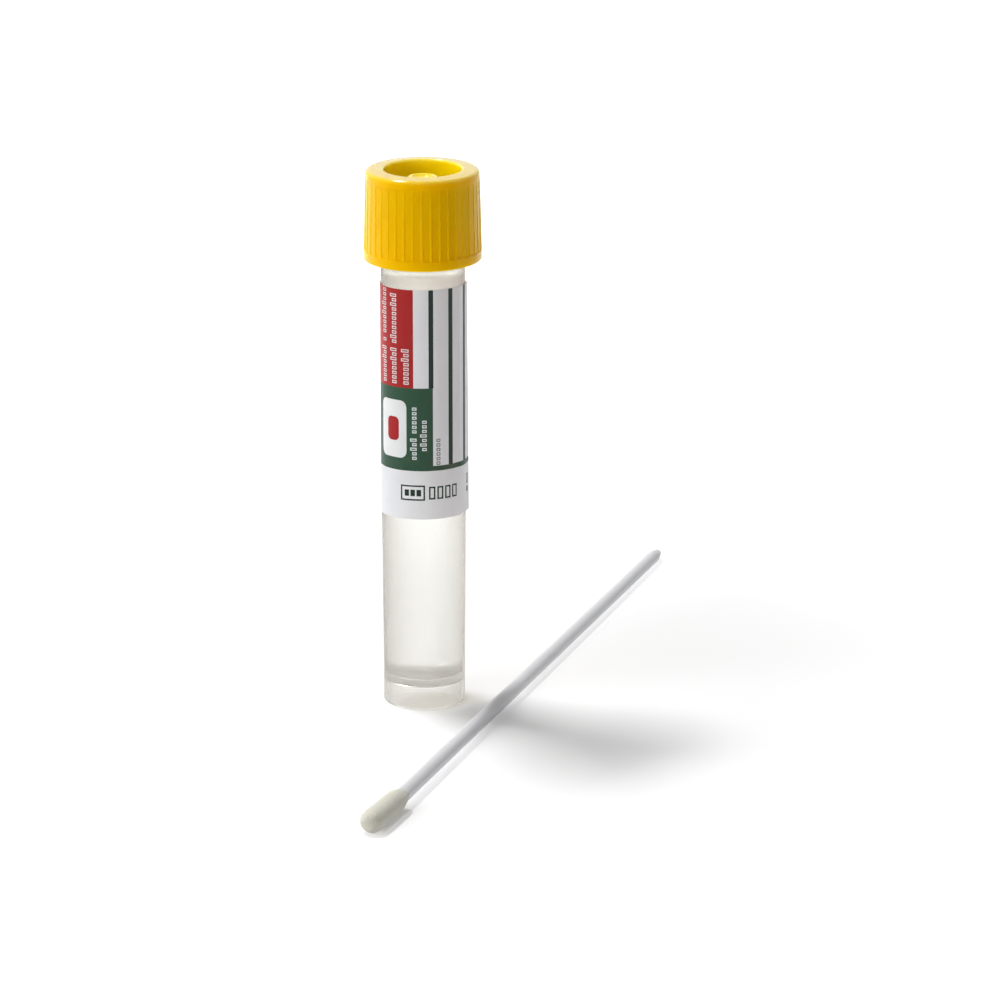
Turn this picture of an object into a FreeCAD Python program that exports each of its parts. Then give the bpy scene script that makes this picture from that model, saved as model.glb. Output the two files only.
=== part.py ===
import FreeCAD, Part

import math
import os

# Specimen swab tube: a skirted screw-cap tube with a wrap label and a neutralising
# solution inside, and its swab lying beside it on the same surface.
#
# Millimetres and degrees. The origin is the centre of the tube's standing rim, +Z runs
# up the tube's axis, -Y is the front and the swab lies at +X. Angles round the tube are
# counted from the front towards +X.

# ---- Driving dimensions ---------------------------------------------------------

# Tube: a standard 101 x 16.5 mm moulding with a false bottom
tube_height = 101.0
tube_radius = 8.25           # outside of the body above the draft
tube_wall = 1.0
foot_draft = 0.23            # the skirt's radius is this much smaller; a taper joins them
skirt_height = 8.0           # straight part of the foot, where a rack grips
floor_height = 5.8           # top of the inner floor
floor_thickness = 1.2
floor_corner = 1.0           # rounding between the wall and the inner floor
skirt_corner = 0.5           # rounding between the skirt and the floor's underside
foot_rounding = 0.3
lip_rounding = 0.3

# Screw cap: one moulding with ribs, a grip recess, a centre post and a plug seal
cap_height = 17.9
cap_rise = 6.9               # of the cap's top above the tube's lip
cap_seat_gap = 0.02          # between the lip and the deck that closes it
cap_deck = 1.7               # between the lip and the recess floor
thread_room = 1.05           # between the tube and the bore that carries the thread
cap_wall_bottom = 2.23       # skirt wall at the cap's lower edge
cap_wall_top = 1.76          # skirt wall at the cap's top, so the cap tapers
cap_top_rounding = 0.8
cap_crown = 0.2              # fall of the top face from the recess to the rim
cap_bottom_rounding = 0.4
cap_mouth_chamfer = 0.4
seat_width = 0.25            # deck left outside the lip, before the coring groove
recess_wall = 0.97           # between the recess and the coring groove
groove_roof = 1.9            # left above the coring groove
recess_draft = 0.25
recess_edge_rounding = 0.45
recess_corner = 0.6
post_radius = 2.9
post_drop = 1.6              # the centre post ends this far under the cap's top
post_draft = 0.2
post_rounding = 0.3
post_rim = 0.8               # flat rim round the post's dish
post_dish = 0.3
plug_clearance = 0.1
plug_length = 4.5
plug_wall = 1.0
plug_lead = 0.7              # height of the lead-in chamfer at the plug's lower end
plug_lead_depth = 0.35

# Grip ribs, and the panels between them
rib_count = 40
rib_root_width = 0.6
rib_crest_width = 0.26
rib_bottom_margin = 1.9      # smooth band below the ribs
rib_top_margin = 1.75        # smooth band above the ribs
panel_depth_bottom = 0.16    # of the panels under the rib crests
panel_depth_top = 0.07
panel_ledge = 0.3            # height of the step at each end of the panels

# Label: a film wrapped round the tube, with its free end over its start
neck_gap = 4.35              # bare tube between the cap and the label
label_height = 46.2
label_tilt_back = 2.6        # degrees, wrapped a little low at the back
label_tilt_left = 0.5        # and at the left
label_trim = 1.5             # spare film that the tilted ends cut off
label_thickness = 0.12
label_gap = 0.02             # adhesive between the tube and the film
label_margin = 1.45          # straight tube below the label, above the taper
label_end_angle = 92.0       # of the free end
label_overlap = 5.0          # length of film under the free end
label_step_angle = 5.0       # the film climbs over its start in this angle
label_lift_angle = 11.0      # the free end curls off over this angle
label_lift_bottom = 0.34
label_lift_top = 0.1

# Solution
head_space = 9.0             # from the liquid's level up to the tube's lip
solution_gap = 0.02          # between the liquid's solid and the tube

# Swab: a tapered moulded shaft with a foam bud
swab_length = 181.0
shaft_radius_at_bud = 1.5
shaft_end_radius = 1.32
shaft_point_length = 3.2      # of the shaft's pointed end
shaft_point_radius = 0.75
shaft_point_rounding = 0.7
shaft_end_rounding = 5.0      # where the point begins
bud_length = 16.5
bud_radius = 2.32            # at the tip's end
bud_rear_radius = 2.12
bud_tip_rounding = 2.1
bud_taper_length = 2.7       # where the bud narrows down to the shaft
bud_end_radius = 1.55
bud_taper_rounding = 4.0      # where the narrowing begins
bud_end_rounding = 0.25
core_radius = 0.95           # thin front end of the shaft, inside the bud
core_cover = 4.0             # foam in front of the core
core_clearance = 0.03
core_buried = 0.6            # of the core's rear end in the shaft
bud_lean = 2.2               # degrees that the bud and core lean off the shaft's line
swab_bearing = 18.6          # of the bud-to-end direction, from +Y towards +X
swab_clear = 8.74            # from the tube's side to the shaft's axis, in plan
swab_tip_back = 78.1         # from the bud's tip to the point nearest the tube

# ---- Derived dimensions ---------------------------------------------------------

cap_top = tube_height + cap_rise
cap_bottom = cap_top - cap_height
deck_underside = tube_height + cap_seat_gap
recess_floor = deck_underside + cap_deck
rim_top = cap_top - cap_crown
thread_bore = tube_radius + thread_room
cap_bottom_radius = thread_bore + cap_wall_bottom
cap_top_radius = thread_bore + cap_wall_top
cap_slope = (cap_top_radius - cap_bottom_radius) / cap_height
groove_inner = tube_radius + seat_width
recess_radius = groove_inner - recess_wall
rib_bottom = cap_bottom + rib_bottom_margin
rib_top = cap_top - rib_top_margin

label_top = cap_bottom - neck_gap          # at the front
label_bottom = label_top - label_height
film_low = label_bottom - label_trim
film_length = label_height + 2 * label_trim
label_inner = tube_radius + label_gap
label_outer = label_inner + label_thickness

foot_radius = tube_radius - foot_draft
draft_top = label_bottom - label_margin
draft_slope = foot_draft / (draft_top - skirt_height)

swab_offset = tube_radius + swab_clear
shaft_end_station = swab_length - shaft_point_length

AXIS = FreeCAD.Vector(0, 0, 1)
ORIGIN = FreeCAD.Vector(0, 0, 0)


# ---- Shared shape helpers -------------------------------------------------------

def rounded_outline(corners):
    """Closed wire in the XZ plane through (x, z) or (x, z, rounding) corners."""
    edges = []
    starts = []
    ends = []
    for index, corner in enumerate(corners):
        here = FreeCAD.Vector(corner[0], 0, corner[1])
        rounding = corner[2] if len(corner) > 2 else 0
        if not rounding:
            starts.append(here)
            ends.append(here)
            continue
        before = corners[index - 1]
        after = corners[(index + 1) % len(corners)]
        back = (FreeCAD.Vector(before[0], 0, before[1]) - here).normalize()
        ahead = (FreeCAD.Vector(after[0], 0, after[1]) - here).normalize()
        half = back.getAngle(ahead) / 2
        bisector = (back + ahead).normalize()
        centre = here + bisector * (rounding / math.sin(half))
        first = here + back * (rounding / math.tan(half))
        last = here + ahead * (rounding / math.tan(half))
        edges.append(Part.Arc(first, centre - bisector * rounding, last).toShape())
        starts.append(first)
        ends.append(last)
    for index, start in enumerate(starts):
        if not start.isEqual(ends[index - 1], 1e-7):
            edges.append(Part.LineSegment(ends[index - 1], start).toShape())
    return Part.Wire(Part.__sortEdges__(edges))


def turned(corners):
    """Solid of revolution about the Z axis of a rounded outline."""
    face = Part.Face(rounded_outline(corners))
    return face.revolve(ORIGIN, AXIS, 360)


def round_point(angle, radius, height):
    """Point at an angle from the front, towards +X."""
    turn = math.radians(angle)
    return FreeCAD.Vector(radius * math.sin(turn), -radius * math.cos(turn), height)


# ---- Tube -----------------------------------------------------------------------

def outside_radius(height):
    """Outside of the tube: straight skirt, drafted lower body, straight upper body."""
    climbed = min(max(height - skirt_height, 0), draft_top - skirt_height)
    return foot_radius + draft_slope * climbed


def bore_radius(height):
    """Inside of the tube, one wall in from the outside."""
    return outside_radius(height) - tube_wall


def make_tube():
    floor_underside = floor_height - floor_thickness
    skirt_bore = foot_radius - tube_wall
    return turned([
        (foot_radius, 0, foot_rounding),
        (foot_radius, skirt_height),
        (tube_radius, draft_top),
        (tube_radius, tube_height, lip_rounding),
        (bore_radius(tube_height), tube_height, lip_rounding),
        (bore_radius(draft_top), draft_top),
        (bore_radius(skirt_height), skirt_height),
        (bore_radius(floor_height), floor_height, floor_corner),
        (0, floor_height),
        (0, floor_underside),
        (skirt_bore, floor_underside, skirt_corner),
        (skirt_bore, 0, foot_rounding),
    ])


# ---- Solution -------------------------------------------------------------------

def make_solution():
    bottom = floor_height + solution_gap
    level = tube_height - head_space
    corners = [(0, bottom), (bore_radius(bottom) - solution_gap, bottom, floor_corner)]
    for height in (skirt_height, draft_top):
        if bottom < height < level:
            corners.append((bore_radius(height) - solution_gap, height))
    corners.append((bore_radius(level) - solution_gap, level))
    corners.append((0, level))
    return turned(corners)


# ---- Screw cap ------------------------------------------------------------------

def cap_outside(height):
    """Outside of the cap over the rib crests, a straight taper."""
    return cap_bottom_radius + cap_slope * (height - cap_bottom)


def panel_outside(height):
    """Outside of the panels between the ribs, deepest at their lower end."""
    share = (height - rib_bottom) / (rib_top - rib_bottom)
    depth = panel_depth_bottom + (panel_depth_top - panel_depth_bottom) * share
    return cap_outside(height) - depth


def make_cap_body():
    post_top = cap_top - post_drop
    plug_outer = bore_radius(tube_height) - plug_clearance
    plug_inner = plug_outer - plug_wall
    plug_bottom = tube_height - plug_length
    groove_top = cap_top - groove_roof
    panel_low = rib_bottom + panel_ledge
    panel_high = rib_top - panel_ledge
    outside = [
        (cap_bottom_radius, cap_bottom, cap_bottom_rounding),
        (cap_outside(rib_bottom), rib_bottom),
        (panel_outside(panel_low), panel_low),
        (panel_outside(panel_high), panel_high),
        (cap_outside(rib_top), rib_top),
        (cap_outside(rim_top), rim_top, cap_top_rounding),
    ]
    recess = [
        (recess_radius, cap_top, recess_edge_rounding),
        (recess_radius - recess_draft, recess_floor, recess_corner),
        (post_radius + post_draft, recess_floor, recess_corner),
        (post_radius, post_top, post_rounding),
        (post_radius - post_rim, post_top),
        (post_radius - post_rim - post_dish, post_top - post_dish),
        (0, post_top - post_dish),
    ]
    inside = [
        (0, deck_underside),
        (plug_inner, deck_underside),
        (plug_inner, plug_bottom),
        (plug_outer - plug_lead_depth, plug_bottom),
        (plug_outer, plug_bottom + plug_lead),
        (plug_outer, deck_underside),
        (groove_inner, deck_underside),
        (groove_inner, groove_top),
        (thread_bore, groove_top),
        (thread_bore, cap_bottom + cap_mouth_chamfer),
        (thread_bore + cap_mouth_chamfer, cap_bottom),
    ]
    return turned(outside + recess + inside)


def make_rib():
    """One rib at the cap's right (+X), from inside the wall out to its crest."""
    sections = []
    for height in (rib_bottom, rib_top):
        crest = cap_outside(height)
        root = crest - panel_depth_bottom
        inner = crest - cap_wall_top / 2
        corners = [
            FreeCAD.Vector(inner, -rib_root_width / 2, height),
            FreeCAD.Vector(root, -rib_root_width / 2, height),
            FreeCAD.Vector(crest, -rib_crest_width / 2, height),
            FreeCAD.Vector(crest, rib_crest_width / 2, height),
            FreeCAD.Vector(root, rib_root_width / 2, height),
            FreeCAD.Vector(inner, rib_root_width / 2, height),
        ]
        sections.append(Part.makePolygon(corners + corners[:1]))
    return Part.makeLoft(sections, True, True)


def make_screw_cap():
    """The first rib stands at the front."""
    ribs = []
    for index in range(rib_count):
        rib = make_rib()
        rib.rotate(ORIGIN, AXIS, index * 360 / rib_count - 90)
        ribs.append(rib)
    return make_cap_body().multiFuse(ribs).removeSplitter()


# ---- Label ----------------------------------------------------------------------

def label_sector(angle_from, angle_to, inner_from, inner_to, outer_from, outer_to):
    """Prism between two angles, whose two walls run from one radius to another."""
    middle = (angle_from + angle_to) / 2
    edges = [
        Part.Arc(round_point(angle_from, inner_from, film_low),
                 round_point(middle, (inner_from + inner_to) / 2, film_low),
                 round_point(angle_to, inner_to, film_low)).toShape(),
        Part.LineSegment(round_point(angle_to, inner_to, film_low),
                         round_point(angle_to, outer_to, film_low)).toShape(),
        Part.Arc(round_point(angle_to, outer_to, film_low),
                 round_point(middle, (outer_from + outer_to) / 2, film_low),
                 round_point(angle_from, outer_from, film_low)).toShape(),
        Part.LineSegment(round_point(angle_from, outer_from, film_low),
                         round_point(angle_from, inner_from, film_low)).toShape(),
    ]
    return Part.Face(Part.Wire(edges)).extrude(AXIS * film_length)


def curl_outline(lift, height):
    """The free end's section: it leaves the layer below in a curve."""
    angle_from = label_end_angle - label_lift_angle
    middle = label_end_angle - label_lift_angle / 2
    edges = []
    rails = []
    for radius in (label_outer, label_outer + label_thickness):
        rails.append((round_point(angle_from, radius, height),
                      round_point(middle, radius + lift / 4, height),
                      round_point(label_end_angle, radius + lift, height)))
    under, over = rails
    edges.append(Part.Arc(*under).toShape())
    edges.append(Part.LineSegment(under[2], over[2]).toShape())
    edges.append(Part.Arc(*reversed(over)).toShape())
    edges.append(Part.LineSegment(over[0], under[0]).toShape())
    return Part.Wire(edges)


def tilted_band():
    """Block between the label's lower and upper edge, which run lower at the back and left."""
    half = 2 * tube_radius
    band = Part.makeBox(2 * half, 2 * half, label_height, FreeCAD.Vector(-half, -half, label_bottom))
    front = FreeCAD.Vector(0, -label_outer, label_bottom)
    band.rotate(front, FreeCAD.Vector(1, 0, 0), -label_tilt_back)
    band.rotate(front, FreeCAD.Vector(0, 1, 0), -label_tilt_left)
    return band


def make_label():
    ring = Part.makeCylinder(label_outer, film_length, AXIS * film_low)
    ring = ring.cut(Part.makeCylinder(label_inner, film_length, AXIS * film_low))
    buried = label_thickness / 2
    second = label_outer + label_thickness
    lift_start = label_end_angle - label_lift_angle
    lap_start = label_end_angle - math.degrees(label_overlap / label_outer)
    step_start = lap_start - label_step_angle
    step = label_sector(step_start, lap_start,
                        label_outer - buried, label_outer - buried, label_outer, second)
    lap = label_sector(lap_start, lift_start,
                       label_outer - buried, label_outer - buried, second, second)
    curl = Part.makeLoft([
        curl_outline(label_lift_bottom, film_low),
        curl_outline(label_lift_top, film_low + film_length),
    ], True, True)
    return ring.multiFuse([step, lap, curl]).common(tilted_band())


# ---- Swab -----------------------------------------------------------------------

def bud_side(station):
    """Radius of the bud at a distance behind its tip, a slight taper."""
    return bud_radius + (bud_rear_radius - bud_radius) * station / bud_length


def swab_placement():
    """Where the swab rests, with its own +Z from the bud's tip to the shaft's end.

    It lies on the bud's widest part and on the shaft's end, so it tilts a little.
    """
    widest = bud_tip_rounding
    end_station = shaft_end_station
    reach = math.hypot(end_station - widest, bud_side(widest))
    tilt = math.asin(bud_side(widest) / reach) - math.asin(shaft_end_radius / reach)
    bearing = math.radians(swab_bearing)
    along = FreeCAD.Vector(math.sin(bearing), math.cos(bearing), 0)
    across = FreeCAD.Vector(math.cos(bearing), -math.sin(bearing), 0)
    tip_height = bud_side(widest) * math.cos(tilt) + widest * math.sin(tilt)
    tip = across * swab_offset - along * swab_tip_back + AXIS * tip_height
    direction = along * math.cos(tilt) - AXIS * math.sin(tilt)
    return FreeCAD.Placement(tip, FreeCAD.Rotation(AXIS, direction))


def lay_leaning(shape):
    """Lays the bud or its core down, turned sideways about the bud's rear end."""
    shape.Placement = swab_placement()
    hinge = swab_placement().multVec(AXIS * bud_length)
    shape.rotate(hinge, AXIS, -bud_lean)
    return shape


def make_swab_bud():
    pocket = core_radius + core_clearance
    pocket_end = core_cover - core_clearance
    taper_start = bud_length - bud_taper_length
    return lay_leaning(turned([
        (0, 0),
        (bud_side(0), 0, bud_tip_rounding),
        (bud_side(taper_start), taper_start, bud_taper_rounding),
        (bud_end_radius, bud_length, bud_end_rounding),
        (pocket, bud_length),
        (pocket, pocket_end),
        (0, pocket_end),
    ]))


def make_swab_shaft():
    lean_room = shaft_radius_at_bud * math.tan(math.radians(bud_lean))
    shoulder = bud_length + lean_room + core_clearance
    rod = turned([
        (0, shoulder),
        (shaft_radius_at_bud, shoulder),
        (shaft_end_radius, shaft_end_station, shaft_end_rounding),
        (shaft_point_radius, swab_length, shaft_point_rounding),
        (0, swab_length),
    ])
    rod.Placement = swab_placement()
    core_length = shoulder + core_buried - core_cover
    core = lay_leaning(Part.makeCylinder(core_radius, core_length, AXIS * core_cover))
    return rod.fuse(core)


# ---- Output ---------------------------------------------------------------------

PIECES = {
    "tube": make_tube,
    "screw_cap": make_screw_cap,
    "label": make_label,
    "solution": make_solution,
    "swab_shaft": make_swab_shaft,
    "swab_bud": make_swab_bud,
}

os.makedirs("parts", exist_ok=True)
for name, make in PIECES.items():
    shape = make()
    shape.exportStep("parts/" + name + ".step")
    box = shape.BoundBox
    print(name, "solids", len(shape.Solids), "valid", shape.isValid(),
          "volume %.2f" % shape.Volume,
          "box %.2f..%.2f %.2f..%.2f %.2f..%.2f" % (
              box.XMin, box.XMax, box.YMin, box.YMax, box.ZMin, box.ZMax))
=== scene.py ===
import math

import bmesh
import bpy
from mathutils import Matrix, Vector, noise


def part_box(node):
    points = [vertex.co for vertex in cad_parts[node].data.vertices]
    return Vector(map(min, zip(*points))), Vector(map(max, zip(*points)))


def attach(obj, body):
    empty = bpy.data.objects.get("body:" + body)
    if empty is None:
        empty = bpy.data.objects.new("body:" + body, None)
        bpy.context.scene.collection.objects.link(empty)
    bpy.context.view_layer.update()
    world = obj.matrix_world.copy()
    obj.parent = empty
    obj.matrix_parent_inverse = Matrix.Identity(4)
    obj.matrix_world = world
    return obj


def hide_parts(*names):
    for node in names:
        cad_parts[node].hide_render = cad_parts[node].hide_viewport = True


# Specimen swab tube and its swab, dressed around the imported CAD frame.
# Metres, with MM to write sizes in millimetres. Angles round the tube are in degrees,
# counted from the front (-Y) towards +X. Colours are linear red, green and blue.

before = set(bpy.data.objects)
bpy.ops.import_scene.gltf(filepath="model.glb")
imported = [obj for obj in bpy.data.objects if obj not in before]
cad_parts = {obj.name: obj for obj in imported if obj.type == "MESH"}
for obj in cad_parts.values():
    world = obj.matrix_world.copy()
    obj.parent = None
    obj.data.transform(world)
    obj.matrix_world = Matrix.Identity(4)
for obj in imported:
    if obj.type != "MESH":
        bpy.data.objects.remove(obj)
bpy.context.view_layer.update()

MM = 0.001


# ---- Sizes read from the frame ------------------------------------------------------

_, tube_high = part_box("tube")
cap_low, cap_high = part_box("screw_cap")
_, solution_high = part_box("solution")

TUBE_RADIUS = tube_high.y
TUBE_TOP = tube_high.z
CAP_BOTTOM = cap_low.z
CAP_TOP = cap_high.z
LIQUID_TOP = solution_high.z


# ---- Sizes that the frame's boxes don't hold, as in the CAD parts -------------------

# Tube
WALL = 1.0 * MM
FOOT_DRAFT = 0.23 * MM         # the skirt's radius is this much smaller
SKIRT_HEIGHT = 8.0 * MM
FLOOR_HEIGHT = 5.8 * MM        # top of the inner floor
FLOOR_THICKNESS = 1.2 * MM
FLOOR_CORNER = 1.0 * MM        # rounding between the wall and the inner floor
SKIRT_CORNER = 0.5 * MM        # rounding between the skirt and the floor's underside
RIM_ROUNDING = 0.3 * MM        # of the foot's and the lip's edges

# Cap
RECESS_RADIUS = 8.0 * MM       # the recess and its rounded edge lie within it

# Label: a film wrapped round the tube, a little lower at the back and at the left
NECK_GAP = 4.35 * MM           # bare tube between the cap and the label
LABEL_HEIGHT = 46.2 * MM
LABEL_MARGIN = 1.45 * MM       # straight tube below the label
LABEL_TOP = CAP_BOTTOM - NECK_GAP      # at the front
LABEL_BOTTOM = LABEL_TOP - LABEL_HEIGHT
TILT_BACK = math.tan(math.radians(2.6))
TILT_LEFT = math.tan(math.radians(0.5))
FILM = 0.12 * MM
FILM_INNER = TUBE_RADIUS + 0.02 * MM
FILM_END = 92.0                # angle of the free end
FILM_OVERLAP = 5.0 * MM
FILM_STEP = 5.0                # the film climbs over its start in this angle
FILM_CURL = 11.0               # the free end lifts off over this angle
CURL_LIFT_BOTTOM = 0.34 * MM
CURL_LIFT_TOP = 0.1 * MM

FOOT_RADIUS = TUBE_RADIUS - FOOT_DRAFT
DRAFT_TOP = LABEL_BOTTOM - LABEL_MARGIN
BORE = TUBE_RADIUS - WALL
FOOT_BORE = FOOT_RADIUS - WALL


# ---- Print on the label -------------------------------------------------------------

RED_INK = (0.36, 0.008, 0.01)
GREEN_INK = (0.003, 0.068, 0.037)
DARK_INK = (0.014, 0.032, 0.024)
PALE_INK = (0.76, 0.77, 0.77)
INK = 0.012 * MM               # thickness of one layer of print
INK_SUNK = 0.3                 # share of a layer that reaches into the one below

FIELD_START = -128.0           # left end of the red and the green field, at the back
RED_EDGE = -12.7               # right ends of the red and the green field
GREEN_EDGE = 13.5
GREEN_LOW = 49.3 * MM
GREEN_HIGH = 66.0 * MM         # the red field is above
STRIP_HEIGHT = 1.0 * MM        # of the green strip under the columns
TOP_MARGIN = 0.02 * MM         # film left bare over the rule lines
RULE_LINES = ((7.9, 14.2), (36.4, 43.3), (65.8, 73.2))     # angles

# Boxes as angle from, angle to, low and high in millimetres
BAND_FRAME = (-31.3, 2.4, 43.3, 46.4)
SIDE_FRAME = (79.5, 86.5, 45.1, 47.1)
SIDE_BLOCK = (79.0, 87.0, 43.4, 44.5)
PLATE = (-68.0, -22.5, 51.8, 63.4)
EMBLEM = (-54.0, -34.0, 55.2, 60.0)
PLATE_ROUNDING = 1.4 * MM
EMBLEM_ROUNDING = 1.0 * MM
FRAME_STROKE = 0.3 * MM

# Three blocks in the band's frame
BLOCK_STARTS = (-25.5, -17.3, -9.0)    # angles
BLOCK_WIDTH = 0.9 * MM
BLOCK_LOW = 44.2 * MM
BLOCK_HIGH = 45.5 * MM

# Four empty boxes beside it
BOX_COUNT = 4
BOX_START = 7.8                # these three are angles
BOX_PITCH = 11.4
BOX_WIDTH = 8.6
BOX_LOW = 43.5 * MM
BOX_HIGH = 46.1 * MM

# Rows of marks as the foot's angle, then the start in millimetres, the words, and the
# height and the stroke in millimetres
PALE_ROWS = (
    (-57.5, 66.7, (8, 1, 10), 1.6, 0.17),
    (-37.5, 66.7, (8, 11), 1.6, 0.17),
    (-19.0, 66.7, (8,), 1.6, 0.17),
    (-8.5, 51.6, (5, 6), 1.3, 0.2),
    (5.0, 53.4, (7,), 1.3, 0.2),
)
DARK_ROW = (23.5, 50.5, (6,), 1.1, 0.13)
TALL_MARK = 1.0                # shares of a row's height
LOW_MARK = 0.68
MARK_PATTERN = (TALL_MARK, LOW_MARK, LOW_MARK, LOW_MARK,
                TALL_MARK, LOW_MARK, LOW_MARK, LOW_MARK, LOW_MARK)
MARK_WIDTH = 0.62 * MM
MARK_PITCH = 0.92 * MM
WORD_GAP = 0.75 * MM


# ---- Mesh helpers -------------------------------------------------------------------

SHARP_ANGLE = 40.0
ROUNDING_STEPS = 5


def new_object(name, vertices, faces, smooth=True):
    """A new mesh object in the scene."""
    mesh = bpy.data.meshes.new(name)
    mesh.from_pydata(vertices, [], faces)
    mesh.validate()
    mesh.update()
    for polygon in mesh.polygons:
        polygon.use_smooth = smooth
    return placed(name, mesh)


def placed(name, data):
    """A new object in the scene that shows the data."""
    piece = bpy.data.objects.new(name, data)
    bpy.context.scene.collection.objects.link(piece)
    return piece


def tidy_normals(piece):
    """Outward normals, and smooth shading that stops at sharp edges."""
    build = bmesh.new()
    build.from_mesh(piece.data)
    bmesh.ops.recalc_face_normals(build, faces=build.faces)
    limit = math.radians(SHARP_ANGLE)
    for edge in build.edges:
        edge.smooth = len(edge.link_faces) == 2 and edge.calc_face_angle(0) < limit
    build.to_mesh(piece.data)
    build.free()


def joined(name, pieces):
    """One object of several meshes."""
    build = bmesh.new()
    for piece in pieces:
        build.from_mesh(piece.data)
    mesh = bpy.data.meshes.new(name)
    build.to_mesh(mesh)
    build.free()
    for piece in pieces:
        bpy.data.objects.remove(piece)
    return placed(name, mesh)


def round_point(angle, radius, height):
    """Place at an angle round the tube's axis."""
    turn = math.radians(angle)
    return (radius * math.sin(turn), -radius * math.cos(turn), height)


def rounded_profile(corners):
    """Points along (radius, height) corners, where a third number rounds the corner."""
    points = []
    for index, corner in enumerate(corners):
        here = Vector(corner[:2])
        rounding = corner[2] if len(corner) > 2 else 0
        if not rounding:
            points.append(tuple(here))
            continue
        back = (Vector(corners[index - 1][:2]) - here).normalized()
        ahead = (Vector(corners[(index + 1) % len(corners)][:2]) - here).normalized()
        half = back.angle(ahead) / 2
        bisector = (back + ahead).normalized()
        centre = here + bisector * (rounding / math.sin(half))
        first = here + back * (rounding / math.tan(half)) - centre
        last = here + ahead * (rounding / math.tan(half)) - centre
        sweep = first.angle(last)
        for step in range(ROUNDING_STEPS + 1):
            share = step / ROUNDING_STEPS
            arm = first * math.sin((1 - share) * sweep) + last * math.sin(share * sweep)
            points.append(tuple(centre + arm / math.sin(sweep)))
    return points


def revolve(name, profile, turns, closed=True):
    """Mesh of revolution of (radius, height) points about +Z. Radius 0 is on the axis."""
    vertices = []
    rings = []
    for radius, height in profile:
        if radius < 1e-9:
            rings.append([len(vertices)])
            vertices.append((0, 0, height))
            continue
        rings.append(list(range(len(vertices), len(vertices) + turns)))
        vertices += [round_point(360 * i / turns, radius, height) for i in range(turns)]
    faces = []
    for index in range(len(rings) if closed else len(rings) - 1):
        lower = rings[index]
        upper = rings[(index + 1) % len(rings)]
        if len(lower) == 1 and len(upper) == 1:
            continue
        for i in range(turns):
            j = (i + 1) % turns
            if len(lower) == 1:
                faces.append((lower[0], upper[i], upper[j]))
            elif len(upper) == 1:
                faces.append((lower[i], upper[0], lower[j]))
            else:
                faces.append((lower[i], upper[i], upper[j], lower[j]))
    piece = new_object(name, vertices, faces)
    tidy_normals(piece)
    return piece


# ---- Material helpers ---------------------------------------------------------------

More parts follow.
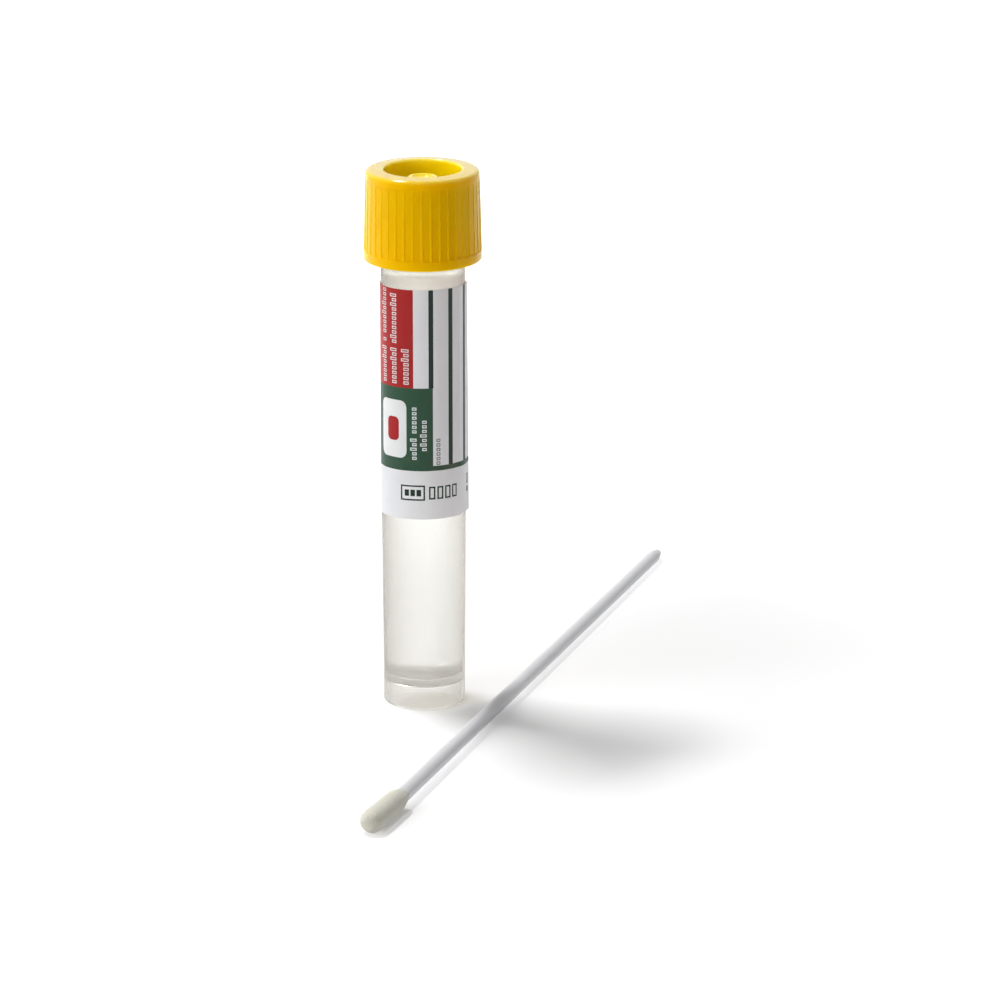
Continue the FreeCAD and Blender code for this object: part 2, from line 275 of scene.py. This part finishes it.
class Shader:
    """A node material, with short calls for the nodes that these finishes need."""

    def __init__(self, name):
        self.material = bpy.data.materials.new(name)
        self.material.use_nodes = True
        self.nodes = self.material.node_tree.nodes
        self.links = self.material.node_tree.links
        self.surface = self.nodes["Principled BSDF"]
        self.output = self.nodes["Material Output"]
        self.place = self.nodes.new("ShaderNodeTexCoord").outputs["Object"]

    # Inputs of the Principled node

    def set(self, **values):
        """Constants on the Principled node, as specular_tint=(...) for Specular Tint."""
        for name, value in values.items():
            socket = self.surface.inputs[name.replace("_", " ").title().replace("Ior", "IOR")]
            socket.default_value = value

    def feed(self, socket, value):
        """Gives a socket another socket, a colour or a number."""
        if hasattr(value, "links"):
            self.links.new(value, socket)
        elif isinstance(value, tuple):
            socket.default_value = (*value, 1)
        else:
            socket.default_value = value

    def colour(self, value):
        self.feed(self.surface.inputs["Base Color"], value)

    def rough(self, value):
        self.feed(self.surface.inputs["Roughness"], value)

    def bump(self, height, distance, strength):
        """Relief of distance metres; several calls add up."""
        node = self.nodes.new("ShaderNodeBump")
        node.inputs["Strength"].default_value = strength
        node.inputs["Distance"].default_value = distance
        self.links.new(height, node.inputs["Height"])
        normal = self.surface.inputs["Normal"]
        if normal.links:
            self.links.new(normal.links[0].from_socket, node.inputs["Normal"])
        self.links.new(node.outputs["Normal"], normal)

    # Patterns and places

    def noise(self, size, detail=3.0, stretch=(1, 1, 1)):
        """Noise whose features are about size metres across."""
        mapping = self.nodes.new("ShaderNodeMapping")
        mapping.inputs["Scale"].default_value = stretch
        self.links.new(self.place, mapping.inputs["Vector"])
        node = self.nodes.new("ShaderNodeTexNoise")
        node.inputs["Scale"].default_value = 1 / size
        node.inputs["Detail"].default_value = detail
        self.links.new(mapping.outputs["Vector"], node.inputs["Vector"])
        return node.outputs["Fac"]

    def cells(self, size, smoothness):
        """Round cells about size metres across, as a distance from their middles."""
        node = self.nodes.new("ShaderNodeTexVoronoi")
        node.feature = "SMOOTH_F1"
        node.inputs["Scale"].default_value = 1 / size
        node.inputs["Smoothness"].default_value = smoothness
        self.links.new(self.place, node.inputs["Vector"])
        return node.outputs["Distance"]

    def axes(self):
        """The place's x, y and z."""
        node = self.nodes.new("ShaderNodeSeparateXYZ")
        self.links.new(self.place, node.inputs[0])
        return node.outputs

    def radius(self):
        """Distance from the tube's axis."""
        x, y, _ = self.axes()
        squares = self.math("ADD", self.both(x, x), self.both(y, y))
        return self.math("SQRT", squares)

    def film_place(self):
        """Angle round the tube in degrees and height on the tilted label."""
        x, y, z = self.axes()
        turn = self.math("ARCTAN2", x, self.math("MULTIPLY", y, -1.0))
        back = self.math("MULTIPLY", self.math("ADD", y, TUBE_RADIUS), TILT_BACK)
        left = self.math("MULTIPLY", x, -TILT_LEFT)
        height = self.math("ADD", z, self.math("ADD", back, left))
        return self.math("MULTIPLY", turn, 180 / math.pi), height

    # Values

    def spread(self, value, low, high, from_low=0.3, from_high=0.7):
        """Maps from_low..from_high onto low..high. Noise mostly lies in 0.3..0.7."""
        node = self.nodes.new("ShaderNodeMapRange")
        node.inputs["From Min"].default_value = from_low
        node.inputs["From Max"].default_value = from_high
        node.inputs["To Min"].default_value = low
        node.inputs["To Max"].default_value = high
        self.links.new(value, node.inputs["Value"])
        return node.outputs["Result"]

    def blend(self, factor, first, second):
        """Colour between first and second, which are colours or sockets."""
        node = self.nodes.new("ShaderNodeMix")
        node.data_type = "RGBA"
        self.feed(node.inputs["Factor"], factor)
        self.feed(node.inputs[6], first)
        self.feed(node.inputs[7], second)
        return node.outputs[2]

    def math(self, operation, first, second=0.0):
        """Result of one operation on sockets or numbers."""
        node = self.nodes.new("ShaderNodeMath")
        node.operation = operation
        self.feed(node.inputs[0], first)
        self.feed(node.inputs[1], second)
        return node.outputs[0]

    def above(self, value, limit):
        return self.math("GREATER_THAN", value, limit)

    def below(self, value, limit):
        return self.math("LESS_THAN", value, limit)

    def either(self, first, second):
        return self.math("MAXIMUM", first, second)

    def both(self, first, second):
        return self.math("MULTIPLY", first, second)

    # Other shaders beside the Principled one

    def closure(self, kind, colour):
        """A shader of one colour, as ShaderNodeBsdfTransparent."""
        node = self.nodes.new(kind)
        self.feed(node.inputs["Color"], colour)
        return node.outputs[0]

    def mix_in(self, factor, other):
        """Mixes another shader into what shows so far."""
        node = self.nodes.new("ShaderNodeMixShader")
        self.feed(node.inputs[0], factor)
        self.links.new(self.output.inputs["Surface"].links[0].from_socket, node.inputs[1])
        self.links.new(other, node.inputs[2])
        self.links.new(node.outputs[0], self.output.inputs["Surface"])

    def lets_light_through(self, lamp_tint, soft_tint):
        """Lamps and soft light pass the clear material straight, losing a little."""
        path = self.nodes.new("ShaderNodeLightPath")
        for ray, tint in (("Is Diffuse Ray", soft_tint), ("Is Shadow Ray", lamp_tint)):
            clear = self.closure("ShaderNodeBsdfTransparent", tint)
            self.mix_in(path.outputs[ray], clear)

    def light_shadow(self, share):
        """Lets a share of the lamps' light past, as translucent plastic does."""
        path = self.nodes.new("ShaderNodeLightPath")
        passed = self.math("MULTIPLY", path.outputs["Is Shadow Ray"], share)
        self.mix_in(passed, self.closure("ShaderNodeBsdfTransparent", (1.0, 1.0, 1.0)))


# ---- Finishes -----------------------------------------------------------------------

def cap_plastic():
    """Yellow polyethylene: a polished top and recess, and sides with a satin texture. The
    recess's paler colour is painted light.
    """
    shader = Shader("cap_plastic")
    shader.set(subsurface_weight=0.6, subsurface_scale=4 * MM)
    shader.surface.inputs["Subsurface Radius"].default_value = (1.0, 0.8, 0.02)
    shader.set(ior=1.5, specular_ior_level=0.18, specular_tint=(1.0, 0.8, 0.02, 1.0))
    shader.set(sheen_weight=0.2, sheen_roughness=0.3, sheen_tint=(0.5, 1.0, 0.01, 1.0))
    height = shader.axes()[2]
    rim = shader.spread(height, 0.0, 1.0, CAP_TOP - 0.9 * MM, CAP_TOP - 0.2 * MM)
    recess = shader.below(shader.radius(), RECESS_RADIUS)
    polished = shader.either(rim, recess)
    mottle = shader.noise(4 * MM, detail=2)
    moulded = shader.blend(mottle, (0.89, 0.49, 0.0003), (0.85, 0.465, 0.0003))
    # Painted light: the recess is painted a paler, brighter yellow in place of light shining into
    # it; the top ring outside the recess is a duller yellow.
    top_colour_and_painted_recess_light = shader.blend(recess, (0.74, 0.49, 0.002), (0.87, 0.64, 0.0015))
    shader.colour(shader.blend(polished, moulded, top_colour_and_painted_recess_light))
    shader.feed(shader.surface.inputs["Coat Weight"], polished)
    shader.set(coat_roughness=0.1)
    grain = shader.spread(shader.noise(0.9 * MM), 0.0, 0.06)
    shader.rough(shader.math("ADD", shader.spread(polished, 0.2, 0.14, 0.0, 1.0), grain))
    shader.bump(shader.noise(0.6 * MM, detail=2), 0.002 * MM, 0.4)
    return shader.material


def tube_plastic():
    """Translucent polypropylene, milkier edge on, in the foot and at the thread.

    Just under the cap's edge its colour is painted a little yellow, a painted glow of the cap's
    light.
    """
    shader = Shader("tube_plastic")
    height = shader.axes()[2]
    cloud = shader.noise(5 * MM, detail=2, stretch=(1, 1, 0.3))
    body = shader.blend(cloud, (0.995, 0.988, 0.973), (0.988, 0.98, 0.963))
    # Painted light: a yellow glow from the cap, painted into the colour just under the cap's edge
    # and fading above it.
    painted_cap_glow_rise = shader.spread(height, 0.0, 1.0, CAP_BOTTOM - 4.5 * MM, CAP_BOTTOM)
    painted_cap_glow_fall = shader.spread(height, 1.0, 0.0, CAP_BOTTOM, CAP_BOTTOM + 2 * MM)
    shader.colour(shader.blend(shader.both(painted_cap_glow_rise, painted_cap_glow_fall), body, (0.95, 0.96, 0.83)))
    shader.set(ior=1.49, transmission_weight=1.0)
    shader.rough(shader.spread(shader.noise(1.5 * MM), 0.13, 0.18))
    shader.bump(shader.noise(0.8 * MM, stretch=(1, 1, 0.25)), 0.0015 * MM, 0.4)
    edge_on = shader.nodes.new("ShaderNodeLayerWeight")
    edge_on.inputs["Blend"].default_value = 0.3
    edges = shader.spread(edge_on.outputs["Facing"], 0.02, 0.8, 0.0, 1.0)
    foot = shader.spread(height, 0.08, 0.0, FLOOR_HEIGHT - 2 * MM, FLOOR_HEIGHT)
    neck = shader.spread(height, 0.0, 0.28, CAP_BOTTOM - 2.5 * MM, CAP_BOTTOM - 1 * MM)
    haze = shader.closure("ShaderNodeBsdfTranslucent", (0.50, 0.48, 0.46))
    shader.mix_in(shader.either(shader.either(edges, foot), neck), haze)
    shader.lets_light_through((0.86, 0.85, 0.83), (0.97, 0.96, 0.94))
    return shader.material


def clear_liquid():
    """Colourless solution, as clear as water."""
    shader = Shader("clear_liquid")
    cloud = shader.noise(12 * MM)
    shader.colour(shader.blend(cloud, (0.985, 0.985, 0.975), (0.975, 0.98, 0.97)))
    shader.set(ior=1.333, transmission_weight=1.0, roughness=0.0)
    shader.lets_light_through((0.97, 0.97, 0.95), (0.99, 0.99, 0.98))
    return shader.material


def satin_print(shader):
    """Gloss and grain shared by the film and the inks."""
    shader.set(ior=1.46, specular_ior_level=0.2)
    shader.rough(shader.spread(shader.noise(0.6 * MM), 0.36, 0.46))
    shader.bump(shader.noise(0.35 * MM, detail=2), 0.003 * MM, 0.4)


def ink(name, colour):
    """Opaque satin ink, a little uneven."""
    shader = Shader(name)
    shade = tuple(part * 0.94 for part in colour)
    shader.colour(shader.blend(shader.noise(3 * MM, detail=2), colour, shade))
    satin_print(shader)
    return shader.material


def label_film():
    """White film, printed outside in red and green, that lets light through.

    The film's inner side is nearly clear, and print seen from behind is weaker.
    """
    shader = Shader("label_film")
    across, height = shader.film_place()
    fields = shader.above(across, FIELD_START)
    red_part = shader.both(fields, shader.below(across, RED_EDGE))
    red = shader.both(red_part, shader.above(height, GREEN_HIGH))
    below_red = shader.both(shader.above(height, GREEN_LOW), shader.below(height, GREEN_HIGH))
    green_part = shader.both(fields, shader.below(across, GREEN_EDGE))
    strip = shader.below(height, GREEN_LOW + STRIP_HEIGHT)
    green = shader.both(below_red, shader.either(green_part, strip))
    behind = shader.nodes.new("ShaderNodeNewGeometry").outputs["Backfacing"]
    strength = shader.spread(behind, 1.0, 0.3, 0.0, 1.0)
    fibre = shader.noise(3 * MM, detail=2)
    paper = shader.blend(fibre, (0.81, 0.84, 0.90), (0.79, 0.82, 0.88))
    reddened = shader.blend(shader.both(red, strength), paper, RED_INK)
    shader.colour(shader.blend(shader.both(green, strength), reddened, GREEN_INK))
    satin_print(shader)
    printed = shader.either(red, green)
    tint = shader.blend(printed, (0.99, 0.95, 0.90), (0.6, 0.25, 0.22))
    through = shader.spread(printed, 0.26, 0.08, 0.0, 1.0)
    from_inside = shader.math("MULTIPLY", behind, 0.4)
    glow = shader.closure("ShaderNodeBsdfTranslucent", tint)
    shader.mix_in(shader.math("ADD", through, from_inside), glow)
    inner = shader.below(shader.radius(), FILM_INNER + FILM / 2)
    adhesive = shader.closure("ShaderNodeBsdfTransparent", (1.0, 1.0, 1.0))
    shader.mix_in(shader.math("MULTIPLY", inner, 0.9), adhesive)
    return shader.material


def swab_plastic():
    """Translucent white plastic, whose shadow is light."""
    shader = Shader("swab_plastic")
    shader.colour(shader.blend(shader.noise(3 * MM), (0.66, 0.66, 0.68), (0.62, 0.62, 0.64)))
    shader.set(ior=1.5)
    shader.rough(shader.spread(shader.noise(0.8 * MM), 0.28, 0.4))
    shader.bump(shader.noise(0.4 * MM), 0.003 * MM, 0.5)
    shader.light_shadow(0.8)
    return shader.material


def bud_foam():
    """Fine open-celled foam."""
    shader = Shader("bud_foam")
    pores = shader.cells(0.28 * MM, smoothness=0.4)
    speckle = shader.spread(pores, 0.0, 1.0, 0.15, 0.6)
    shader.colour(shader.blend(speckle, (0.56, 0.545, 0.47), (0.64, 0.625, 0.54)))
    shader.set(subsurface_weight=0.15, subsurface_scale=0.8 * MM, sheen_weight=0.2)
    shader.rough(0.95)
    shader.bump(pores, 0.06 * MM, 0.6)
    shader.bump(shader.noise(1.2 * MM), 0.08 * MM, 0.4)
    shader.light_shadow(0.6)
    return shader.material


# ---- Tube and liquid ----------------------------------------------------------------

TUBE_TURNS = 180
LIQUID_TURNS = 160

THREAD_PITCH = 3.5 * MM
THREAD_TURNS = 2.25
THREAD_START = 52.0            # angle where the male thread's lower end lies
THREAD_BOTTOM = CAP_BOTTOM - 0.2 * MM
THREAD_HEIGHT = 0.72 * MM
THREAD_ROOT = 1.5 * MM         # the ridge's width at the tube
THREAD_CREST = 0.6 * MM        # and at its crest
THREAD_RUNOUT = 14.0           # degrees over which the ridge fades at each end
THREAD_ZONE = CAP_BOTTOM - 1.0 * MM    # the mesh is fine from here to the lip
THREAD_ROWS = 130


def thread_relief(angle, height):
    """Height of the male thread's ridge over the tube at this place."""
    relief = 0.0
    for turn in range(-1, int(THREAD_TURNS) + 2):
        travel = (angle - THREAD_START) % 360 + 360 * turn
        if not 0 <= travel <= 360 * THREAD_TURNS:
            continue
        centre = THREAD_BOTTOM + THREAD_ROOT / 2 + THREAD_PITCH * travel / 360
        fade = min(travel, 360 * THREAD_TURNS - travel) / THREAD_RUNOUT
        slope = (THREAD_ROOT / 2 - abs(height - centre)) / ((THREAD_ROOT - THREAD_CREST) / 2)
        relief = max(relief, THREAD_HEIGHT * max(0, min(1, slope, fade)))
    return relief


def make_tube():
    """Skirt, drafted body, straight body with the thread, bore and false bottom."""
    outside = rounded_profile([
        (FOOT_BORE, 0),
        (FOOT_RADIUS, 0, RIM_ROUNDING),
        (FOOT_RADIUS, SKIRT_HEIGHT),
        (TUBE_RADIUS, DRAFT_TOP),
    ])[1:]
    thread_high = TUBE_TOP - RIM_ROUNDING
    threaded = [(TUBE_RADIUS, THREAD_ZONE + (thread_high - THREAD_ZONE) * i / THREAD_ROWS)
                for i in range(THREAD_ROWS)]
    inside = rounded_profile([
        (TUBE_RADIUS, thread_high),
        (TUBE_RADIUS, TUBE_TOP, RIM_ROUNDING),
        (BORE, TUBE_TOP, RIM_ROUNDING),
        (BORE, DRAFT_TOP),
        (FOOT_BORE, SKIRT_HEIGHT),
        (FOOT_BORE, FLOOR_HEIGHT, FLOOR_CORNER),
        (0, FLOOR_HEIGHT),
    ])[1:]
    under = rounded_profile([
        (0, FLOOR_HEIGHT - FLOOR_THICKNESS),
        (FOOT_BORE, FLOOR_HEIGHT - FLOOR_THICKNESS, SKIRT_CORNER),
        (FOOT_BORE, 0, RIM_ROUNDING),
        (FOOT_RADIUS, 0),
    ])[:-1]
    tube = revolve("tube_body", outside + threaded + inside + under, TUBE_TURNS)
    tolerance = 0.05 * MM
    for vertex in tube.data.vertices:
        x, y, z = vertex.co
        radius = math.hypot(x, y)
        if z < THREAD_ZONE or abs(radius - TUBE_RADIUS) > tolerance:
            continue
        angle = math.degrees(math.atan2(x, -y))
        grown = 1 + thread_relief(angle, z) / radius
        vertex.co = (x * grown, y * grown, z)
    return tube


def make_liquid():
    """Reaches a little into the tube's wall, so that light passes from one to the other."""
    reach = 0.03 * MM
    climb = 0.6 * MM           # of the meniscus at the wall
    level = LIQUID_TOP - climb
    return revolve("liquid", rounded_profile([
        (0, FLOOR_HEIGHT - reach),
        (FOOT_BORE + reach, FLOOR_HEIGHT - reach, FLOOR_CORNER),
        (FOOT_BORE + reach, SKIRT_HEIGHT),
        (BORE + reach, DRAFT_TOP),
        (BORE + reach, LIQUID_TOP),
        (BORE - 0.4 * MM, LIQUID_TOP - 0.6 * climb),
        (BORE - 1.6 * MM, level),
        (0, level),
    ]), LIQUID_TURNS, closed=False)


# ---- Label --------------------------------------------------------------------------

SHEET_STEP = 1.5               # degrees between columns of a sheet's mesh
ROUNDED_STEP = 0.5             # the same where the sheet's corners are round
SHEET_ROW = 6 * MM


def degrees_of(length):
    """Angle that a length takes up along the film."""
    return math.degrees(length / (FILM_INNER + FILM))


def film_lift(angle, height):
    """Height of the film's inner side over the tube. Its free end lies over its start."""
    lap_start = FILM_END - degrees_of(FILM_OVERLAP)
    climb = max(0, min(1, (angle - lap_start + FILM_STEP) / FILM_STEP))
    lift = FILM * climb * climb * (3 - 2 * climb)
    share = (height - LABEL_BOTTOM) / (LABEL_TOP - LABEL_BOTTOM)
    curl = CURL_LIFT_BOTTOM + (CURL_LIFT_TOP - CURL_LIFT_BOTTOM) * share
    bend = max(0, (angle - FILM_END + FILM_CURL) / FILM_CURL)
    return lift + curl * bend * bend


def film_surface(angle, height, above):
    """Point over the film's outer side. The film is wrapped lower at the back and left."""
    radius = FILM_INNER + film_lift(angle, height) + FILM + above
    x, y, _ = round_point(angle, radius, height)
    return (x, y, height - TILT_BACK * (y + TUBE_RADIUS) + TILT_LEFT * x)


def corner_trim(angle, rounding):
    """Height that a rounded corner takes off a sheet, at an angle in from its side."""
    reach = rounding - math.radians(max(angle, 0.0)) * (FILM_INNER + FILM)
    return rounding - math.sqrt(rounding * rounding - reach * reach) if reach > 0 else 0.0


def sheet_between(name, angle_from, angle_to, low, high, bottom, top, rounding=0.0):
    """Closed slab of the film's form, from bottom to top over the film's outer side."""
    turn = ROUNDED_STEP if rounding else SHEET_STEP
    columns = max(2, math.ceil((angle_to - angle_from) / turn))
    rows = max(1, math.ceil((high - low) / SHEET_ROW))
    vertices = []
    for level in (bottom, top):
        for i in range(columns + 1):
            angle = angle_from + (angle_to - angle_from) * i / columns
            trim = corner_trim(min(angle - angle_from, angle_to - angle), rounding)
            for j in range(rows + 1):
                height = low + trim + (high - low - 2 * trim) * j / rows
                vertices.append(film_surface(angle, height, level))
    step = rows + 1
    layer = (columns + 1) * step
    faces = []
    for i in range(columns):
        for j in range(rows):
            first = i * step + j
            faces.append((first, first + 1, first + step + 1, first + step))
            faces.append(tuple(layer + k for k in faces[-1][::-1]))
    rim = [i * step for i in range(columns + 1)]
    rim += [columns * step + j for j in range(1, rows + 1)]
    rim += [i * step + rows for i in range(columns - 1, -1, -1)]
    rim += [j for j in range(rows - 1, 0, -1)]
    for here, there in zip(rim, rim[1:] + rim[:1]):
        faces.append((here, there, layer + there, layer + here))
    piece = new_object(name, vertices, faces)
    tidy_normals(piece)
    return piece


def ink_levels(layer):
    """Underside and top of a layer of print. Layer 0 is on the film."""
    return (layer - INK_SUNK) * INK, (layer + 1) * INK


def field(angle_from, angle_to, low, high, layer=0, rounding=0.0):
    """A rectangle of ink."""
    return sheet_between("patch", angle_from, angle_to, low, high, *ink_levels(layer), rounding)


def frame_outline(angle_from, angle_to, low, high, stroke, layer=0):
    """A stroke of ink round a rectangle, as one closed slab."""
    steps = max(2, math.ceil((angle_to - angle_from) / SHEET_STEP))
    loop = [(i / steps, 0.0) for i in range(steps)] + [(1.0, 0.0)]
    loop += [(1 - across, 1.0) for across, _ in loop]
    vertices = []
    for level in ink_levels(layer):
        for inset in (0.0, stroke):
            turn = degrees_of(inset)
            for across, up in loop:
                angle = angle_from + turn + (angle_to - angle_from - 2 * turn) * across
                height = low + inset + (high - low - 2 * inset) * up
                vertices.append(film_surface(angle, height, level))
    count = len(loop)
    outer_under, inner_under, outer_top, inner_top = range(0, 4 * count, count)
    sides = ((outer_under, inner_under), (outer_top, inner_top),
             (outer_under, outer_top), (inner_under, inner_top))
    faces = []
    for here in range(count):
        there = (here + 1) % count
        for first, second in sides:
            faces.append((first + here, first + there, second + there, second + here))
    piece = new_object("patch", vertices, faces)
    tidy_normals(piece)
    return piece


def text_row(foot, start, words, height, stroke, layer):
    """A row of empty boxes climbing the label, in place of a line of words.

    Each number in words is how many boxes stand together.
    """
    marks = []
    along = start * MM
    for word in words:
        for mark in range(word):
            share = MARK_PATTERN[(2 * mark + word) % len(MARK_PATTERN)]
            head = foot - degrees_of(height * MM * share)
            marks.append(frame_outline(head, foot, along, along + MARK_WIDTH, stroke * MM, layer))
            along += MARK_PITCH
        along += WORD_GAP
    return marks


def in_metres(box):
    """Angles and heights of a box whose heights are in millimetres."""
    angle_from, angle_to, low, high = box
    return angle_from, angle_to, low * MM, high * MM


def make_dark_print():
    """Rule lines, the frames, blocks and boxes of the white band, and a small row."""
    patches = []
    for angle_from, angle_to in RULE_LINES:
        bottom = GREEN_HIGH if angle_from < GREEN_EDGE else GREEN_LOW + STRIP_HEIGHT
        patches.append(field(angle_from, angle_to, bottom, LABEL_TOP - TOP_MARGIN))
    patches.append(frame_outline(*in_metres(BAND_FRAME), FRAME_STROKE))
    for start in BLOCK_STARTS:
        patches.append(field(start, start + degrees_of(BLOCK_WIDTH), BLOCK_LOW, BLOCK_HIGH))
    for index in range(BOX_COUNT):
        start = BOX_START + BOX_PITCH * index
        patches.append(frame_outline(start, start + BOX_WIDTH, BOX_LOW, BOX_HIGH, FRAME_STROKE))
    patches.append(frame_outline(*in_metres(SIDE_FRAME), FRAME_STROKE))
    patches.append(field(*in_metres(SIDE_BLOCK)))
    patches += text_row(*DARK_ROW, layer=0)
    return joined("print_dark", patches)


def make_pale_print():
    """Rows on the red and the green field, and the plate."""
    patches = []
    for row in PALE_ROWS:
        patches += text_row(*row, layer=1)
    patches.append(field(*in_metres(PLATE), layer=1, rounding=PLATE_ROUNDING))
    return joined("print_pale", patches)


def make_label():
    """The film, its dark print, its pale print and the emblem, each in its material."""
    start = FILM_END - 360 - degrees_of(FILM_OVERLAP)
    film = sheet_between("label_film", start, FILM_END, LABEL_BOTTOM, LABEL_TOP, -FILM, 0)
    dark = make_dark_print()
    pale = make_pale_print()
    emblem_patch = field(*in_metres(EMBLEM), layer=2, rounding=EMBLEM_ROUNDING)
    emblem = joined("print_emblem", [emblem_patch])
    film.data.materials.append(label_film())
    dark.data.materials.append(ink("ink_dark", DARK_INK))
    pale.data.materials.append(ink("ink_pale", PALE_INK))
    emblem.data.materials.append(ink("ink_emblem", RED_INK))
    return [film, dark, pale, emblem]


# ---- Swab bud -----------------------------------------------------------------------

BUD_VOXEL = 0.17 * MM
BUD_SMOOTHINGS = 2
LUMP_SIZE = 3.0 * MM
LUMP_HEIGHT = 0.05 * MM
PORE_SIZE = 0.45 * MM
PORE_HEIGHT = 0.03 * MM


def make_bud():
    """Foam bud from the CAD bud's own form, with lumps and pores, flat where it lies."""
    bud = placed("bud_foam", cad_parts["swab_bud"].data.copy())
    remesh = bud.modifiers.new("remesh", "REMESH")
    remesh.mode = "VOXEL"
    remesh.voxel_size = BUD_VOXEL
    depsgraph = bpy.context.evaluated_depsgraph_get()
    mesh = bpy.data.meshes.new_from_object(bud.evaluated_get(depsgraph))
    bud.modifiers.clear()
    bud.data = mesh
    build = bmesh.new()
    build.from_mesh(mesh)
    for _ in range(BUD_SMOOTHINGS):
        bmesh.ops.smooth_vert(build, verts=build.verts, factor=0.5,
                              use_axis_x=True, use_axis_y=True, use_axis_z=True)
    build.normal_update()
    moves = []
    for vertex in build.verts:
        lump = noise.noise(vertex.co / LUMP_SIZE) * LUMP_HEIGHT
        pore = noise.noise(vertex.co / PORE_SIZE) * PORE_HEIGHT
        moves.append(vertex.normal * (lump + pore))
    for vertex, move in zip(build.verts, moves):
        vertex.co += move
        vertex.co.z = max(vertex.co.z, 0.0)
    for face in build.faces:
        face.smooth = True
    build.to_mesh(mesh)
    build.free()
    mesh.materials.clear()
    return bud


# ---- Camera, light and floor --------------------------------------------------------

CAMERA_PLACE = (14.969 * MM, -1016.308 * MM, 348.203 * MM)
CAMERA_TILT = 16.822           # degrees below level
CAMERA_LENS = 194.4            # millimetres on a sensor 36 wide
FLOOR_HALF = 3.0
GLOW_NEAR = (0.055, 0.12)      # a distance from the tube, and the floor's glow there
GLOW_FAR = (0.3, 1.0)
LIGHT_AIM = (0, 0, 60 * MM)


def add_camera():
    """The view of the photograph."""
    camera = bpy.data.cameras.new("camera")
    camera.sensor_width = 36.0
    camera.lens = CAMERA_LENS
    camera.clip_start = 0.01
    holder = placed("camera", camera)
    holder.location = CAMERA_PLACE
    holder.rotation_euler = (math.radians(90 - CAMERA_TILT), 0, 0)
    bpy.context.scene.camera = holder


def add_softbox(name, bearing, elevation, distance, width, height, radiance):
    """Area light that faces the aim, from a bearing (degrees from the front towards +X)."""
    light = bpy.data.lights.new(name, "AREA")
    light.shape = "RECTANGLE"
    light.size = width
    light.size_y = height
    light.energy = radiance * math.pi * width * height
    away = Vector(round_point(bearing, math.cos(math.radians(elevation)),
                              math.sin(math.radians(elevation))))
    holder = placed(name, light)
    holder.location = Vector(LIGHT_AIM) + away * distance
    holder.rotation_euler = away.to_track_quat("Z", "Y").to_euler()
    return holder


def seen_directly(nodes, links):
    """1 for rays that show the background: camera, glossy and transmission rays."""
    path = nodes.new("ShaderNodeLightPath")
    total = path.outputs["Is Camera Ray"]
    for name in ("Is Glossy Ray", "Is Transmission Ray"):
        more = nodes.new("ShaderNodeMath")
        more.operation = "MAXIMUM"
        links.new(total, more.inputs[0])
        links.new(path.outputs[name], more.inputs[1])
        total = more.outputs[0]
    return total


def add_world(ambient, shown):
    """White surroundings, weaker as a light than as a background."""
    world = bpy.data.worlds.new("studio")
    bpy.context.scene.world = world
    world.use_nodes = True
    nodes = world.node_tree.nodes
    links = world.node_tree.links
    background = nodes["Background"]
    background.inputs["Color"].default_value = (1, 1, 1, 1)
    strength = nodes.new("ShaderNodeMapRange")
    strength.inputs["To Min"].default_value = ambient
    strength.inputs["To Max"].default_value = shown
    links.new(seen_directly(nodes, links), strength.inputs["Value"])
    links.new(strength.outputs["Result"], background.inputs["Strength"])


def add_floor(albedo):
    """Pale floor. To rays that show the background it glows, more so farther away."""
    half = FLOOR_HALF
    corners = [(-half, -half, 0), (half, -half, 0), (half, half, 0), (-half, half, 0)]
    floor = new_object("floor", corners, [(0, 1, 2, 3)], smooth=False)
    shader = Shader("floor")
    shader.colour((albedo, albedo, albedo))
    shader.rough(0.9)
    shader.set(specular_ior_level=0.0)
    nodes, links = shader.nodes, shader.links
    distance = nodes.new("ShaderNodeVectorMath")
    distance.operation = "LENGTH"
    links.new(shader.place, distance.inputs[0])
    near, near_glow = GLOW_NEAR
    far, far_glow = GLOW_FAR
    glow = shader.spread(distance.outputs["Value"], near_glow, far_glow, near, far)
    glow.node.interpolation_type = "SMOOTHSTEP"
    emission = nodes.new("ShaderNodeEmission")
    links.new(shader.both(glow, seen_directly(nodes, links)), emission.inputs["Strength"])
    total = nodes.new("ShaderNodeAddShader")
    links.new(shader.surface.outputs[0], total.inputs[0])
    links.new(emission.outputs[0], total.inputs[1])
    links.new(total.outputs[0], shader.output.inputs["Surface"])
    floor.data.materials.append(shader.material)


def light_studio():
    """A key from behind the left, a faint overhead, a panel at the left, a strip at the right.

    The key and the panel aren't seen through the clear pieces.
    """
    key = add_softbox("key", bearing=-130, elevation=65, distance=1.2,
                      width=0.34, height=0.14, radiance=82.0)
    add_softbox("overhead", bearing=-120, elevation=80, distance=1.0,
                width=1.0, height=1.0, radiance=0.15)
    panel = add_softbox("left_panel", bearing=-58, elevation=26, distance=0.5,
                        width=0.3, height=0.3, radiance=5.5)
    add_softbox("right_strip", bearing=77, elevation=11, distance=0.35,
                width=0.08, height=0.38, radiance=2.25)
    key.visible_transmission = False
    panel.visible_transmission = False
    panel.visible_glossy = False
    add_world(ambient=0.1, shown=1.0)
    add_floor(albedo=0.8)


# ---- Assembly -----------------------------------------------------------------------

def finish_node(name, material):
    """A CAD node kept as it is, with a better material."""
    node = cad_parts[name]
    node.data.materials.clear()
    node.data.materials.append(material)


def dress(piece, body, material=None, node=None):
    """A piece that rides on a body, and may stand for a CAD node."""
    if material:
        piece.data.materials.append(material)
    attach(piece, body)
    if node:
        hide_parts(node)


finish_node("screw_cap", cap_plastic())
finish_node("swab_shaft", swab_plastic())
dress(make_tube(), "root", tube_plastic(), "tube")
dress(make_liquid(), "root", clear_liquid(), "solution")
bud = make_bud()
dress(bud, "root", bud_foam(), "swab_bud")
label_pieces = make_label()
for label_piece in label_pieces:
    dress(label_piece, "root")
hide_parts("label")

add_camera()
light_studio()
bpy.context.scene.view_settings.view_transform = "Standard"
